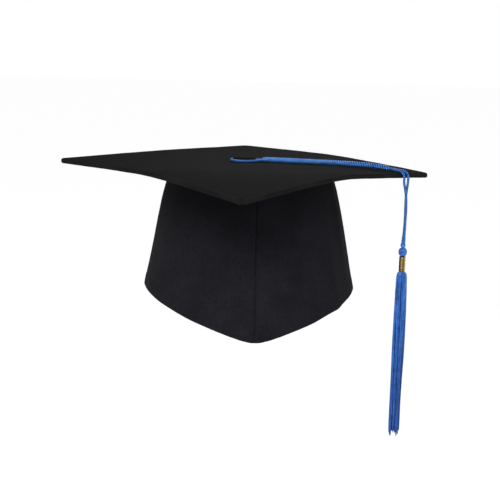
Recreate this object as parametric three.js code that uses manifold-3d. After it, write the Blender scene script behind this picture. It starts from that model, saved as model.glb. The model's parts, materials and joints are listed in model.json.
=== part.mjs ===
// A graduation cap: a square cloth-covered board glued on a soft pointed skullcap, with a covered
// button and a tassel that hangs from a cord looped round the button.
// Millimetres, +Z up, the pointed front of the skullcap towards -Y, the tassel towards +X.
// The origin is the middle of the head opening, level with the rim over the wearer's ears.

import * as THREE from "three";
import { mergeVertices } from "three/addons/utils/BufferGeometryUtils.js";
import Module from "manifold-3d";

const wasm = await Module();
wasm.setup();

// ---- Driving dimensions ----

const GAP = 0.3; // clearance between pieces that lie face to face

// The skullcap: a cone of cloth that leans in towards a flat crown.
const cap = {
  rimRadius: 98, // half the width of the head opening
  oval: 2, // how much longer than wide the opening is, as a radius
  height: 111, // from the rim over the ears to the crown
  lean: 21, // how far the wall leans in over its height
  shoulder: 4, // how far it rounds in on top of that, close to the crown
  point: 34, // how far the front point would hang below the rim, if it were sharp
  backDip: 8, // how far the rim hangs lower at the back
  turn: THREE.MathUtils.degToRad(3.5), // the board is glued on a little out of line with the front seam
};

// The layers of the skullcap's wall, as depths in from its outer face.
const shell = { outer: 0, inner: 0.9 };
const interlining = { outer: shell.inner + GAP, inner: 2.0 };
const lining = { outer: interlining.inner + GAP, inner: 2.9 };
const headband = { outer: lining.inner + GAP, inner: 4.4, height: 30, rimGap: 1.5 };
const elastic = { outer: lining.inner + GAP, inner: 4.6, height: 19, rimGap: 7 };
const casing = { outer: elastic.inner + GAP, inner: 5.4, height: 28, rimGap: 2.5 };
const label = { outer: casing.inner + GAP, inner: 6.1, width: 34, height: 15, rimGap: 9 };

// The headband runs round the front, and the elastic takes over at the back.
const headbandEnd = THREE.MathUtils.degToRad(118);
const elasticStart = THREE.MathUtils.degToRad(122);

// The flat layers of the crown, as heights of their lower and upper faces, from the top down.
const crownPanel = { low: cap.height - 0.9, high: cap.height };
const crownStiffener = { low: crownPanel.low - GAP - 1.2, high: crownPanel.low - GAP };
const crownLining = { low: cap.height - 6.6, high: cap.height - 6.0 };
const crownInset = 1.2; // the crown's cloth ends this far inside the wall's outer face
const stiffenerInset = interlining.inner + 1;

// The square board, and how far each of its corners droops.
const board = {
  side: 246,
  offCentre: -6.6, // the board is also glued on a little to one side
  cornerRadius: 7,
  cover: 0.6, // thickness of the cloth
  core: 2.6, // thickness of the card
  edgeRoll: 0.9, // the soft round where the top cloth turns over the edge
  flatShare: 0.46, // the share of the half diagonal that stays flat on the crown
  bend: 1.3, // how sharply the droop sets in
  droop: { right: 7, left: 1, front: 12.5, back: 1 },
};
const halfDiagonal = board.side / Math.SQRT2;
const boardLow = cap.height + GAP;
const coreLow = boardLow + board.cover + GAP;
const coreHigh = coreLow + board.core;
const boardTop = coreHigh + GAP + board.cover;

// The covered button, its rivet and its washer.
const button = {
  radius: 11.2,
  baseRadius: 9.6,
  height: 4.9,
  widest: 2.1, // height of its widest part
  squareness: 0.55, // below 1, the dome's shoulder is fuller than a circle's
  cloth: 0.6,
  metal: 0.6,
};
const backPlate = { low: boardTop + GAP, high: boardTop + GAP + 0.8, clearance: 0.3 };
const washer = { low: crownStiffener.low - GAP - 1.2, high: crownStiffener.low - GAP, radius: 8 };
const rivet = { radius: 1.5, hole: 2.1, headRadius: 3.2, tailRadius: 3.6, headHeight: 0.8 };

// The tassel's cord: one strand looped round the button, its two halves twisted together on the board.
const strandRadius = 1.2;
const twistedRadius = 2.4;
const edgeBend = 6.2; // radius of the bend over the board's edge, which a limp cord can't make tighter
const edgeLift = 2.3; // height of a strand's middle above the cloth, as it comes to the edge

// The hanging tassel's axis stands this far outside the edge, and this far along it from its middle.
const hangOut = 2.5;
const hangAlong = 83.2;

// The heights of the tassel's pieces, from the top down.
const swingHeight = 104.8; // where the cord leaves the edge of the board
const jointGap = 1.2; // clearance that lets one piece turn against the next
const headTop = 48.4;
const collar = { low: 43.3, high: headTop - jointGap, radius: 1.9 };
const knot = { low: 34.8, high: collar.low - GAP, radius: 3.9, endShare: 0.86 };
const ferrule = { low: 21.2, high: knot.low - GAP, radius: 3.0, wall: 0.35, slit: 0.5 };
const neck = { low: ferrule.low + 0.4, high: ferrule.high - 0.4, radius: 2.3 };
const fringe = {
  low: -129,
  high: ferrule.low - 1.0,
  shoulder: 3,
  topRadius: 1.5,
  radius: 4.5,
  flareHeight: 89,
  flareRadius: 6,
  endRadius: 6.2,
};

// ---- Materials ----

function cloth(color, roughness = 0.95) {
  return new THREE.MeshStandardMaterial({ color, roughness, metalness: 0 });
}

function metal(color, roughness) {
  return new THREE.MeshStandardMaterial({ color, roughness, metalness: 1 });
}

const materials = {
  boardCloth: cloth(0x221f1e),
  capCloth: cloth(0x201f24),
  stiffCloth: cloth(0xd8d5cc),
  liningCloth: cloth(0x17171a, 0.7),
  headbandCloth: cloth(0x111113, 0.5),
  elasticWeb: cloth(0x1b1b1d),
  labelCloth: cloth(0xe9e7e0, 0.6),
  card: cloth(0xa8957a, 0.9),
  steel: metal(0xb5b7ba, 0.35),
  brass: metal(0xc9a24a, 0.3),
  blueCord: cloth(0x2654af, 0.5),
  blueThread: cloth(0x2a5cc0, 0.55),
};

// ---- Shape helpers ----

function solidOf(geometry) {
  const bare = geometry.clone();
  bare.deleteAttribute("normal");
  bare.deleteAttribute("uv");
  const merged = mergeVertices(bare);
  return new wasm.Manifold(
    new wasm.Mesh({
      numProp: 3,
      vertProperties: merged.attributes.position.array,
      triVerts: new Uint32Array(merged.index.array),
    }),
  );
}

function geometryOf(solid) {
  const mesh = solid.getMesh();
  const geometry = new THREE.BufferGeometry();
  geometry.setAttribute("position", new THREE.BufferAttribute(mesh.vertProperties, 3));
  geometry.setIndex(new THREE.BufferAttribute(mesh.triVerts, 1));
  geometry.computeVertexNormals();
  return geometry;
}

// An upright round bar on the cap's middle axis.
function upright(radius, low, high, sides = 20) {
  return new THREE.CylinderGeometry(radius, radius, high - low, sides)
    .rotateX(Math.PI / 2)
    .translate(0, 0, (low + high) / 2);
}

// The same geometry with the rivet's hole cut through it.
function withRivetHole(geometry, centre = 0) {
  const reach = 30; // more than any layer is away from the crown
  const hole = upright(rivet.hole, cap.height - reach, cap.height + reach, 12).translate(centre, 0, 0);
  return geometryOf(solidOf(geometry).subtract(solidOf(hole)));
}

// A solid turned about the Z axis from points of [radius, height], bottom point first.
function turned(points, sides) {
  const profile = points.map(([radius, height]) => new THREE.Vector2(radius, height));
  return new THREE.LatheGeometry(profile, sides).rotateX(Math.PI / 2);
}

// A solid spun round an outline that isn't a circle. Each profile point is
// [share of the way out to the outline, inset of that outline, height].
function spun(outline, profile, droopAt) {
  const columns = outline(0).length;
  const rings = profile.map(([, inset]) => outline(inset));
  const flat = profile.map(([share, , height]) => new THREE.Vector2(share, height));
  const geometry = new THREE.LatheGeometry(flat, columns);
  const position = geometry.attributes.position;
  for (let column = 0; column <= columns; column++) {
    profile.forEach(([share, , height], row) => {
      const point = rings[row][column % columns];
      const x = point.x * share;
      const y = point.y * share;
      position.setXYZ(column * profile.length + row, x, y, height - droopAt(x, y));
    });
  }
  alignDiagonals(geometry, profile, columns);
  return geometry;
}

// Splits the faces that run inwards along the same diagonals as those that run outwards,
// so that bent layers lie in each other without touching.
function alignDiagonals(geometry, profile, columns) {
  const rows = profile.length - 1;
  for (let column = 0; column < columns; column++) {
    for (let row = 0; row < rows; row++) {
      if (profile[row + 1][0] >= profile[row][0]) continue;
      const here = column * profile.length + row;
      const next = here + profile.length;
      const faces = [here, next, next + 1, here, next + 1, here + 1];
      geometry.index.array.set(faces, faces.length * (column * rows + row));
    }
  }
}

// A round cord along smooth hand-set points.
function cordAlong(points, radius, steps) {
  const sides = 8;
  const section = new THREE.Shape();
  for (let side = 0; side < sides; side++) {
    const angle = (2 * Math.PI * side) / sides;
    const x = radius * Math.cos(angle);
    const y = radius * Math.sin(angle);
    if (side === 0) section.moveTo(x, y);
    else section.lineTo(x, y);
  }
  section.closePath();
  const path = new THREE.CatmullRomCurve3(points.map(([x, y, z]) => new THREE.Vector3(x, y, z)));
  return new THREE.ExtrudeGeometry(section, { steps, bevelEnabled: false, extrudePath: path });
}

// ---- The skullcap ----

// Angles round the cap are counted from the front seam, and are positive towards +X.

function wallRadius(angle, height) {
  const share = height / cap.height;
  const profile = cap.rimRadius - cap.lean * share - cap.shoulder * Math.max(0, share) ** 8;
  return profile + cap.oval * Math.cos(angle) ** 2;
}

function wallPoint(angle, height, depth) {
  const radius = wallRadius(angle, height) - depth;
  const direction = angle + cap.turn;
  return new THREE.Vector3(radius * Math.sin(direction), -radius * Math.cos(direction), height);
}

// The rim sweeps down to a rounded point at the front, and dips a little at the back.
function rimHeight(angle) {
  const quarter = Math.PI / 2;
  const rounding = THREE.MathUtils.degToRad(5);
  if (Math.abs(angle) > quarter) return -cap.backDip * Math.cos(angle) ** 2;
  return -cap.point * Math.max(0, 1 - Math.hypot(angle, rounding) / quarter) ** 1.7;
}

// A curved layer of the wall between two angles. Its lower edge is lowAt(angle), its upper highAt(angle).
// Its rows crowd towards the top, where the wall rounds in.
function wallLayer(layer, from, to, lowAt, highAt, columns, rows) {
  const geometry = new THREE.BoxGeometry(1, 1, 1, columns, rows, 1);
  const position = geometry.attributes.position;
  for (let index = 0; index < position.count; index++) {
    const angle = THREE.MathUtils.lerp(from, to, position.getX(index) + 0.5);
    const rise = 1 - (0.5 - position.getY(index)) ** 1.5;
    const height = THREE.MathUtils.lerp(lowAt(angle), highAt(angle), rise);
    const depth = THREE.MathUtils.lerp(layer.inner, layer.outer, position.getZ(index) + 0.5);
    const point = wallPoint(angle, height, depth);
    position.setXYZ(index, point.x, point.y, point.z);
  }
  return geometry;
}

// One side of the cap, from the front seam to the back seam. side is 1 at +X and -1 at -X.
function halfWall(layer, side, rimGap, topHeight) {
  const columns = 20;
  const rows = 8;
  const seam = GAP / 2 / cap.rimRadius;
  const ends = [side * seam, side * (Math.PI - seam)];
  const [from, to] = side > 0 ? ends : ends.reverse();
  return wallLayer(layer, from, to, (angle) => rimHeight(angle) + rimGap, () => topHeight, columns, rows);
}

// A strip inside the rim, such as the headband. rimGap is how far it sits above the rim.
function rimStrip(strip, from, to, columns) {
  const lowAt = (angle) => rimHeight(angle) + strip.rimGap;
  return wallLayer(strip, from, to, lowAt, (angle) => lowAt(angle) + strip.height, columns, 2);
}

// The crown's outline at a height, that far inside the wall's outer face.
function crownOutline(height) {
  const points = 40;
  return (inset) =>
    Array.from({ length: points }, (_, index) => wallPoint((2 * Math.PI * index) / points, height, inset));
}

function crownDisc({ low, high }, inset) {
  const profile = [
    [0, inset, low],
    [1, inset, low],
    [1, inset, high],
    [0, inset, high],
  ];
  return spun(crownOutline(high), profile, () => 0);
}

function labelPatch() {
  const halfAngle = label.width / 2 / cap.rimRadius;
  return rimStrip(label, Math.PI - halfAngle, Math.PI + halfAngle, 4);
}

function elasticStrip(strip) {
  return rimStrip(strip, elasticStart, 2 * Math.PI - elasticStart, 14);
}

// ---- The board ----

function cornerDroop(reach, droop) {
  const share = Math.max(0, reach / halfDiagonal - board.flatShare) / (1 - board.flatShare);
  return droop * share ** board.bend;
}

function boardDroop(x, y) {
  const { right, left, front, back } = board.droop;
  const sideways = cornerDroop(x, right) + cornerDroop(-x, left);
  const lengthways = cornerDroop(-y, front) + cornerDroop(y, back);
  return sideways + lengthways;
}

// The square with rounded corners, its corners on the X and Y axes.
function boardOutline(inset) {
  const arcSteps = 4;
  const edgeSteps = 8;
  const radius = board.cornerRadius - inset;
  const reach = halfDiagonal - board.cornerRadius * Math.SQRT2;
  const onArc = (corner, step) => {
    const towards = (corner * Math.PI) / 2;
    const angle = towards + (step / arcSteps - 0.5) * (Math.PI / 2);
    const centre = new THREE.Vector2(Math.cos(towards), Math.sin(towards)).multiplyScalar(reach);
    return centre.add(new THREE.Vector2(Math.cos(angle), Math.sin(angle)).multiplyScalar(radius));
  };
  const points = [];
  for (let corner = 0; corner < 4; corner++) {
    for (let step = 0; step <= arcSteps; step++) points.push(onArc(corner, step));
    const start = onArc(corner, arcSteps);
    const end = onArc(corner + 1, 0);
    for (let step = 1; step < edgeSteps; step++) {
      const share = (1 - Math.cos((Math.PI * step) / edgeSteps)) / 2; // closer together near the corners
      points.push(start.clone().lerp(end, share));
    }
  }
  return points;
}

// The rings that a board layer's faces are divided by, from the middle out, so that they can bend.
const boardRings = [0.25, board.flatShare, 0.54, 0.65, 0.76, 0.88, 1];

function facing(inset, height) {
  return [[0, inset, height], ...boardRings.map((share) => [share, inset, height])];
}

function boardLayer(inset, low, high) {
  return spun(boardOutline, [...facing(inset, low), ...facing(inset, high).reverse()], boardDroop);
}

// The top cloth also turns down over the edge of the card, to the underside.
function boardTopCover() {
  const inner = board.cover;
  const profile = [
    ...facing(inner, boardTop - board.cover),
    [1, inner, boardLow],
    [1, 0, boardLow],
    [1, 0, boardTop - board.edgeRoll],
    [1, board.edgeRoll * 0.3, boardTop - board.edgeRoll * 0.3],
    ...facing(board.edgeRoll, boardTop).reverse(),
  ];
  return spun(boardOutline, profile, boardDroop);
}

// ---- The button ----

// The button's outer face, grown inwards by thickness.
function buttonFace(thickness) {
  const steps = 5;
  const low = boardTop + GAP;
  const crown = button.height - thickness;
  const points = [[button.baseRadius - thickness, low]];
  for (let step = 0; step <= steps; step++) {
    const angle = (step / steps) * (Math.PI / 2);
    const rise = button.widest + (crown - button.widest) * Math.sin(angle);
    const spread = Math.cos(angle) ** button.squareness;
    points.push([(button.radius - thickness) * spread, boardTop + rise]);
  }
  points[points.length - 1][0] = 0;
  return points;
}

// A domed cap of even thickness, open underneath.
function domed(outerDepth, innerDepth) {
  const outside = buttonFace(outerDepth);
  const inside = buttonFace(innerDepth).reverse();
  return turned([...inside, ...outside], 24);
}

function buttonBack() {
  const radius = button.baseRadius - button.cloth - button.metal - 2 * GAP - backPlate.clearance;
  return withRivetHole(upright(radius, backPlate.low, backPlate.high, 24));
}

// The rivet, with its head inside the button and its tail under the washer.
function buttonPost() {
  const tail = washer.low - GAP;
  const head = backPlate.high + GAP;
  return turned(
    [
      [0, tail - rivet.headHeight],
      [rivet.tailRadius, tail - rivet.headHeight],
      [rivet.tailRadius, tail],
      [rivet.radius, tail],
      [rivet.radius, head],
      [rivet.headRadius, head],
      [rivet.headRadius, head + rivet.headHeight],
      [0, head + rivet.headHeight],
    ],
    16,
  );
}

function buttonWasher() {
  return withRivetHole(upright(washer.radius, washer.low, washer.high, 24));
}

// ---- The tassel ----

// Places on the board's front right edge: along it towards the right corner, and out from it.
function onEdge(along, out) {
  const half = board.side / 2;
  return new THREE.Vector2(along + half + out, along - half - out).divideScalar(Math.SQRT2);
}

const tasselAxis = onEdge(hangAlong, hangOut);
const runAngle = tasselAxis.angle();

// A point of the cord on the board: its distance from the button's middle towards the tassel, and
// how far it is to the left of that line.
function onRun([distance, sideways, height]) {
  const spot = new THREE.Vector2(distance, sideways).rotateAround(new THREE.Vector2(), runAngle);
  return [spot.x, spot.y, height];
}

function clothHeight(x, y) {
  return boardTop - boardDroop(x, y);
}

// The loop round the button, and the bends where its two ends meet the twisted pair.
const loop = {
  radius: 12.4,
  height: 117.2,
  endHeight: 118.0,
  bend: 5,
  halfGap: 1.35, // half the distance between the two ends' middles
  bendSteps: 4,
  steps: 14,
};

// One end of the loop: the strand leaves its neighbour and bends away until it meets the loop's circle.
// side is -1 for the front end and 1 for the back one.
function loopEnd(side) {
  const centreOut = loop.halfGap + loop.bend;
  const centreAlong = Math.sqrt((loop.radius + loop.bend) ** 2 - centreOut ** 2);
  const sweep = Math.atan2(centreAlong, centreOut); // from straight along the run to touching the circle
  const points = [];
  for (let step = 0; step <= loop.bendSteps; step++) {
    const share = step / loop.bendSteps;
    const distance = centreAlong - loop.bend * Math.sin(share * sweep);
    const sideways = side * (centreOut - loop.bend * Math.cos(share * sweep));
    points.push([distance, sideways, THREE.MathUtils.lerp(loop.endHeight, loop.height, share)]);
  }
  return points;
}

// The strand goes round the button, from the front of the run to the back of it.
function cordLoop() {
  const front = loopEnd(-1);
  const back = loopEnd(1).reverse();
  const [touchAlong, touchOut] = back[0];
  const opening = Math.atan2(touchOut, touchAlong);
  const round = [];
  for (let step = 1; step < loop.steps; step++) {
    const angle = -THREE.MathUtils.lerp(opening, 2 * Math.PI - opening, step / loop.steps);
    round.push([loop.radius * Math.cos(angle), loop.radius * Math.sin(angle), loop.height]);
  }
  return cordAlong([...front, ...round, ...back].map(onRun), strandRadius, 40);
}

// The twisted pair sinks towards the edge no faster than the cloth does at any place it can be turned to.
const twistedRoute = [
  [16.9, 0, 118.4],
  [45, 0, 118.4],
  [75, 0, 118.4],
  [105, 0, 118.4],
  [118, 0, 118.3],
  [124, 0, 117.7],
  [130, 0, 116.5],
  [135.6, 0, 115.4],
];

// Each strand leaves the pair, bends over the edge and ends hanging straight down.
// side is -1 for the front strand and 1 for the back one.
const forkSpread = 2.9; // how far each strand hangs from the tassel's axis, along the edge
const forkStart = { distance: 136.8, sideways: 1.45, height: 115.2 };

function forkRoute(side) {
  const landing = onEdge(hangAlong + side * forkSpread, hangOut).rotateAround(new THREE.Vector2(), -runAngle);
  const bendStart = landing.x - edgeBend;
  const [x, y] = onRun([bendStart, landing.y, 0]);
  const high = clothHeight(x, y) + edgeLift;
  const halfway = {
    distance: (forkStart.distance + bendStart) / 2,
    sideways: side * forkStart.sideways * 0.4 + landing.y * 0.6,
    height: (forkStart.height + high) / 2,
  };
  const points = [
    [forkStart.distance, side * forkStart.sideways, forkStart.height],
    [halfway.distance, halfway.sideways, halfway.height],
  ];
  const steps = 4;
  for (let step = 0; step <= steps; step++) {
    const angle = (step / steps) * (Math.PI / 2);
    const distance = bendStart + edgeBend * Math.sin(angle);
    points.push([distance, landing.y, high - edgeBend * (1 - Math.cos(angle))]);
  }
  points.push([landing.x, landing.y, swingHeight]);
  return points.map(onRun);
}

// How far the front hanging strand is from the tassel's axis, along the board's edge and out from it,
// at each height. The back strand is its mirror image.
const dropRoute = [
  [-forkSpread, 0.0, swingHeight - jointGap],
  [-2.6, 0.4, 100.0],
  [-1.8, 0.9, 94.0],
  [-1.0, 1.0, 88.5],
  [-0.5, 1.3, 80.0],
  [-0.2, 1.4, 72.0],
  [-0.2, 1.4, 64.0],
  [-0.6, 1.3, 56.0],
  [-0.5, 1.3, headTop],
];

// side is 1 for the front strand and -1 for the back one.
function hangingStrand(side) {
  const points = dropRoute.map(([along, out, height]) => {
    const spot = onEdge(hangAlong + side * along, hangOut + side * out);
    return [spot.x, spot.y, height];
  });
  return cordAlong(points, strandRadius, 30);
}

// A solid turned about the tassel's hanging axis.
function onTassel(points, sides = 16) {
  return turned(points, sides).translate(tasselAxis.x, tasselAxis.y, 0);
}

function cordCollar() {
  const middle = (collar.low + collar.high) / 2;
  const neckHeight = 0.5;
  return onTassel([
    [0, collar.low],
    [collar.radius * 0.9, collar.low],
    [collar.radius, middle],
    [collar.radius * 0.6, collar.high - neckHeight],
    [0, collar.high],
  ]);
}

function tasselKnot() {
  const steps = 6;
  const half = (knot.high - knot.low) / 2;
  const middle = knot.low + half;
  const points = [[0, knot.low]];
  for (let step = 0; step <= steps; step++) {
    const share = (2 * step) / steps - 1;
    const bulge = Math.sqrt(1 - (knot.endShare * share) ** 2);
    points.push([knot.radius * bulge, middle + half * share]);
  }
  points.push([0, knot.high]);
  return onTassel(points, 18);
}

// A band of sheet brass rolled round the threads, with the open seam at its back.
function brassFerrule() {
  const halfSlit = ferrule.slit / 2 / ferrule.radius;
  const from = Math.PI / 2 + halfSlit;
  const to = Math.PI / 2 - halfSlit + 2 * Math.PI;
  const section = new THREE.Shape();
  section.absarc(0, 0, ferrule.radius, from, to, false);
  section.absarc(0, 0, ferrule.radius - ferrule.wall, to, from, true);
  section.closePath();
  const depth = ferrule.high - ferrule.low;
  const band = new THREE.ExtrudeGeometry(section, { depth, bevelEnabled: false, curveSegments: 24 });
  return band.translate(tasselAxis.x, tasselAxis.y, ferrule.low);
}

function threadNeck() {
  return onTassel([
    [0, neck.low],
    [neck.radius, neck.low],
    [neck.radius, neck.high],
    [0, neck.high],
  ]);
}

function threadFringe() {
  return onTassel([
    [0, fringe.low],
    [fringe.endRadius, fringe.low],
    [fringe.flareRadius, fringe.low + fringe.flareHeight],
    [fringe.radius, fringe.high - fringe.shoulder],
    [fringe.topRadius, fringe.high],
    [0, fringe.high],
  ]);
}

// ---- The assembly ----

const model = new THREE.Group();

function add(name, geometry, material) {
  const mesh = new THREE.Mesh(geometry, material.clone());
  mesh.name = name;
  model.add(mesh);
}

// Everything on the board is built about the button's middle.
function addOnBoard(name, geometry, material) {
  add(name, geometry.translate(board.offCentre, 0, 0), material);
}

const interliningGap = { rim: 2, crown: 2.5 }; // how far the interlining stops short
const liningRimGap = 1;

function addSkullcap() {
  for (const [name, side] of [
    ["left", -1],
    ["right", 1],
  ]) {
    const interliningTop = cap.height - interliningGap.crown;
    const liningTop = crownLining.low - GAP;
    add(`cap_panel_${name}`, halfWall(shell, side, 0, cap.height), materials.capCloth);
    const stiffening = halfWall(interlining, side, interliningGap.rim, interliningTop);
    add(`interlining_${name}`, stiffening, materials.stiffCloth);
    add(`lining_${name}`, halfWall(lining, side, liningRimGap, liningTop), materials.liningCloth);
  }
  const crown = withRivetHole(crownDisc(crownPanel, crownInset), board.offCentre);
  const stiffener = withRivetHole(crownDisc(crownStiffener, stiffenerInset), board.offCentre);
  add("crown_panel", crown, materials.capCloth);
  add("crown_stiffener", stiffener, materials.card);
  add("crown_lining", crownDisc(crownLining, lining.outer), materials.liningCloth);
  add("headband", rimStrip(headband, -headbandEnd, headbandEnd, 26), materials.headbandCloth);
  add("elastic_band", elasticStrip(elastic), materials.elasticWeb);
  add("elastic_casing", elasticStrip(casing), materials.liningCloth);
  add("size_label", labelPatch(), materials.labelCloth);
}

function addBoard() {
  const inset = board.cover + GAP;
  const underside = boardLayer(inset, boardLow, boardLow + board.cover);
  addOnBoard("board_underside", withRivetHole(underside), materials.boardCloth);
  addOnBoard("board_core", withRivetHole(boardLayer(inset, coreLow, coreHigh)), materials.card);
  addOnBoard("board_cover", withRivetHole(boardTopCover()), materials.boardCloth);
}

function addButton() {
  const metalDepth = button.cloth + GAP;
  addOnBoard("button_cover", domed(0, button.cloth), materials.boardCloth);
  addOnBoard("button_shell", domed(metalDepth, metalDepth + button.metal), materials.steel);
  addOnBoard("button_back", buttonBack(), materials.steel);
  addOnBoard("button_post", buttonPost(), materials.steel);
  addOnBoard("button_washer", buttonWasher(), materials.steel);
}

function addTassel() {
  addOnBoard("cord_loop", cordLoop(), materials.blueCord);
  addOnBoard("cord_twisted", cordAlong(twistedRoute.map(onRun), twistedRadius, 14), materials.blueCord);
  addOnBoard("cord_fork_front", cordAlong(forkRoute(-1), strandRadius, 18), materials.blueCord);
  addOnBoard("cord_fork_back", cordAlong(forkRoute(1), strandRadius, 18), materials.blueCord);
  addOnBoard("cord_drop_front", hangingStrand(1), materials.blueCord);
  addOnBoard("cord_drop_back", hangingStrand(-1), materials.blueCord);
  addOnBoard("cord_collar", cordCollar(), materials.blueCord);
  addOnBoard("tassel_knot", tasselKnot(), materials.blueCord);
  addOnBoard("ferrule", brassFerrule(), materials.brass);
  addOnBoard("thread_neck", threadNeck(), materials.blueThread);
  addOnBoard("fringe", threadFringe(), materials.blueThread);
}

addSkullcap();
addBoard();
addButton();
addTassel();

export default model;
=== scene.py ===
"""A graduation cap: a cloth-covered board on a pointed skullcap, with a covered button and a blue tassel.

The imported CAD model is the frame. Blender's units are metres, in the CAD's frame: +Z up, the pointed front
of the skullcap towards -Y. Shapes are worked out in millimetres, as in the CAD source, and turned into metres
when a mesh is made. The board, the button and the tassel are worked out about the button's middle.
"""

import json
import math

import bpy
import numpy as np
from mathutils import Matrix, Vector, noise


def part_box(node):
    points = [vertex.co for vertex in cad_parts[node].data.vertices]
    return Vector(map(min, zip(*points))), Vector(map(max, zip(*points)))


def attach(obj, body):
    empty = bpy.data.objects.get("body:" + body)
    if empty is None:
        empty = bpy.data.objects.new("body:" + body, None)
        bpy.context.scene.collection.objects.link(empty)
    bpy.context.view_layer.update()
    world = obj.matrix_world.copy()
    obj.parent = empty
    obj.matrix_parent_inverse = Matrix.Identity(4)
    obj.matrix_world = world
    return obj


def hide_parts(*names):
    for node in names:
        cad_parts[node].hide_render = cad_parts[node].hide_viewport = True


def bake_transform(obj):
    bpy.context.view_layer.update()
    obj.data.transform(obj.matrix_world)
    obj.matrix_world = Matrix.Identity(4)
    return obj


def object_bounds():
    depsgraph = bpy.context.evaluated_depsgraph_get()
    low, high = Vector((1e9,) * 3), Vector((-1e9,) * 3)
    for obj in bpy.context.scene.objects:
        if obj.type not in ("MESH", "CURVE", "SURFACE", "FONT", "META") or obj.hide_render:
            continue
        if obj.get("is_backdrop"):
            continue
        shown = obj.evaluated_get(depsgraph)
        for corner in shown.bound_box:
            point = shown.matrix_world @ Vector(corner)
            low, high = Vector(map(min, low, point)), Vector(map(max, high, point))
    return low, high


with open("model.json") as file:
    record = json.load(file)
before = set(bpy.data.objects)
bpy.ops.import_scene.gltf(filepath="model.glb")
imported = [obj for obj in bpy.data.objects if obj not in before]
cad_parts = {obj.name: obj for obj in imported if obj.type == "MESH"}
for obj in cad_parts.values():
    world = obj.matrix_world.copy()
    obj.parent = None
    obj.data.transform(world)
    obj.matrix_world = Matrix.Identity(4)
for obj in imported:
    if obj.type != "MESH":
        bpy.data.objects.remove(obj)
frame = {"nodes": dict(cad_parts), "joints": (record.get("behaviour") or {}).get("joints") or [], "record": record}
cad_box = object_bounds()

MM = 0.001
SQRT2 = math.sqrt(2)
random = np.random.default_rng(7)

# ---- Places that the frame gives ----

joints = {joint["name"]: joint for joint in frame["joints"]}
button_centre = np.array(joints["tassel_turn"]["pos_m"]) / MM
swing_point = np.array(joints["tassel_swing"]["pos_m"]) / MM
OFF_CENTRE = np.array([button_centre[0], 0, 0])  # the board is glued on a little to one side
TASSEL = (swing_point - OFF_CENTRE)[:2]
slots = {subpart["node"]: subpart["material_slot"] for subpart in frame["record"]["subparts"]}


def node_heights(node):
    """The lowest and highest point of a CAD node, in millimetres."""
    low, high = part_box(node)
    return low.z / MM, high.z / MM


BOARD_LOW = node_heights("crown_panel")[1] + 0.3
BOARD_TOP = node_heights("board_cover")[1]
CROWN_HEIGHT = node_heights("cap_panel_left")[1]
CROWN_LINING = sum(node_heights("crown_lining")) / 2
FERRULE_LOW, FERRULE_HIGH = node_heights("ferrule")
KNOT_LOW, KNOT_HIGH = node_heights("tassel_knot")
COLLAR_LOW, COLLAR_HIGH = node_heights("cord_collar")
FRINGE_LOW = node_heights("fringe")[0]

# ---- The CAD source's driving dimensions, in millimetres ----

RIM_RADIUS = 98
OVAL = 2  # how much longer the skullcap's radius is lengthways
LEAN = 21  # how far the wall comes in from the rim to the crown
SHOULDER = 4  # and how much more it rounds in near the crown
POINT = 34  # how far the rim dips at the front
BACK_DIP = 8
CAP_TURN = math.radians(3.5)

CORNER_RADIUS = 7
FLAT_SHARE = 0.46  # the share of the board's half diagonal that stays flat
BEND = 1.3  # the power with which a corner droops past it
DROOP = {"right": 7, "left": 1, "front": 12.5, "back": 1}
board_low_corner, board_high_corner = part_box("board_cover")
EDGE_HIGHLIGHT_WIDTH = 1.9  # the width of the painted highlight along the board's rolled edge, across its corners
HALF_DIAGONAL = (board_high_corner.x - board_low_corner.x) / MM / 2 + CORNER_RADIUS * (SQRT2 - 1)
BOARD_SIDE = HALF_DIAGONAL * SQRT2

STRAND_RADIUS = 1.2
TWISTED_RADIUS = 2.4
HANG_OUT = 2.5  # how far out from the board's edge the strands hang
HANG_ALONG = (TASSEL[0] + TASSEL[1]) / SQRT2
RUN_ANGLE = math.atan2(TASSEL[1], TASSEL[0])

# ---- The camera ----

CAMERA_DISTANCE = 1.1
CAMERA_PITCH = math.radians(10.5)
CAMERA_ROLL = math.radians(1.37)
CAMERA_TARGET = Vector((0.0005, 0, 0.0318))
CAMERA_LENS = 83.7  # on the 36 mm sensor


def make_camera():
    """Looks at the front from slightly above, with the picture's slight roll."""
    forward = Vector((0, math.cos(CAMERA_PITCH), -math.sin(CAMERA_PITCH)))
    level_right = Vector((1, 0, 0))
    level_up = level_right.cross(forward)
    right = level_right * math.cos(CAMERA_ROLL) + level_up * math.sin(CAMERA_ROLL)
    up = right.cross(forward)
    data = bpy.data.cameras.new("camera")
    data.lens = CAMERA_LENS
    data.clip_end = 100
    camera = bpy.data.objects.new("camera", data)
    axes = Matrix((right, up, -forward)).transposed().to_4x4()
    camera.matrix_world = Matrix.Translation(CAMERA_TARGET - forward * CAMERA_DISTANCE) @ axes
    bpy.context.scene.collection.objects.link(camera)
    bpy.context.scene.camera = camera


# ---- Shapes that the CAD source shares ----


def corner_droop(reach, droop):
    share = np.maximum(0, np.asarray(reach) / HALF_DIAGONAL - FLAT_SHARE) / (1 - FLAT_SHARE)
    return droop * share**BEND


def board_droop(x, y):
    sideways = corner_droop(x, DROOP["right"]) + corner_droop(-x, DROOP["left"])
    lengthways = corner_droop(-y, DROOP["front"]) + corner_droop(y, DROOP["back"])
    return sideways + lengthways


def wall_radius(angle, height):
    share = height / CROWN_HEIGHT
    profile = RIM_RADIUS - LEAN * share - SHOULDER * np.maximum(0, share) ** 8
    return profile + OVAL * np.cos(angle) ** 2


def wall_point(angle, height, depth):
    """A point of the skullcap's wall, that far inside its outer face. Angles count from the front seam."""
    radius = wall_radius(angle, height) - depth
    direction = angle + CAP_TURN
    return np.stack([radius * np.sin(direction), -radius * np.cos(direction), height + 0 * radius], axis=-1)


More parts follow.
